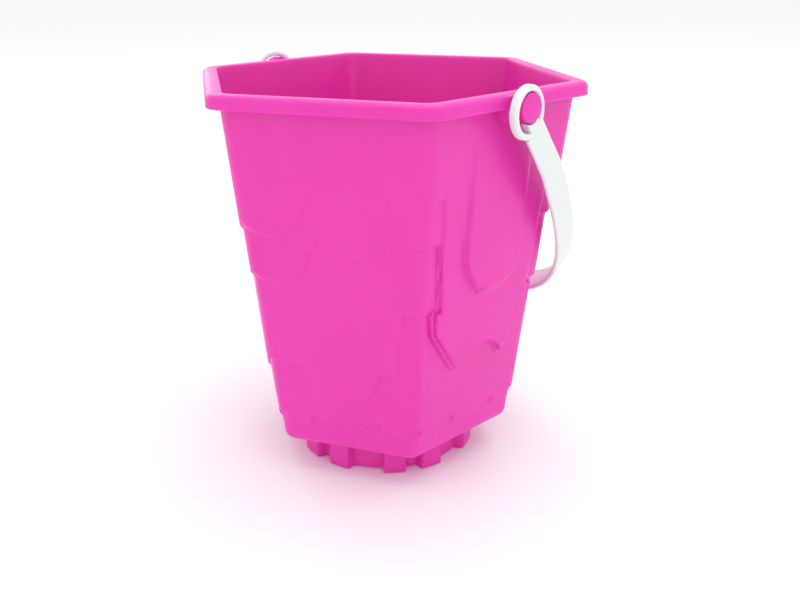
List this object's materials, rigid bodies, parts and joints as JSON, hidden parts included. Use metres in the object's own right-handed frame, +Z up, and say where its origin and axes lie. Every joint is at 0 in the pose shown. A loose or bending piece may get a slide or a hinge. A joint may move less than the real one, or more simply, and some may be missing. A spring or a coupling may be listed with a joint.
{
  "type": "sand bucket",
  "caption": "Hexagonal castle-mould beach bucket with a stepped relief wall, a round crenellated foot and a strap handle that swings on side studs.",
  "frame": {"origin": "centre of the turret foot's underside, on the surface that the bucket stands on", "axes": "+Z up out of the bucket's mouth; +X along the axis of the handle studs, out of one of the two stud faces; the handle leans towards +Y at rest"},
  "size_m": [0.1516, 0.1574, 0.1594],
  "materials": {
    "pink_plastic": "satin",
    "white_plastic": "satin"
  },
  "bodies": {
    "bucket": {"bucket": "pink_plastic"},
    "handle": {"handle": "white_plastic"}
  },
  "joints": [
    {"name": "handle_swing", "type": "hinge", "parent": "bucket", "child": "handle", "pos_m": [0, 0, 0.1514], "axis": [1, 0, 0], "range_deg": [0, 289]}
  ]
}
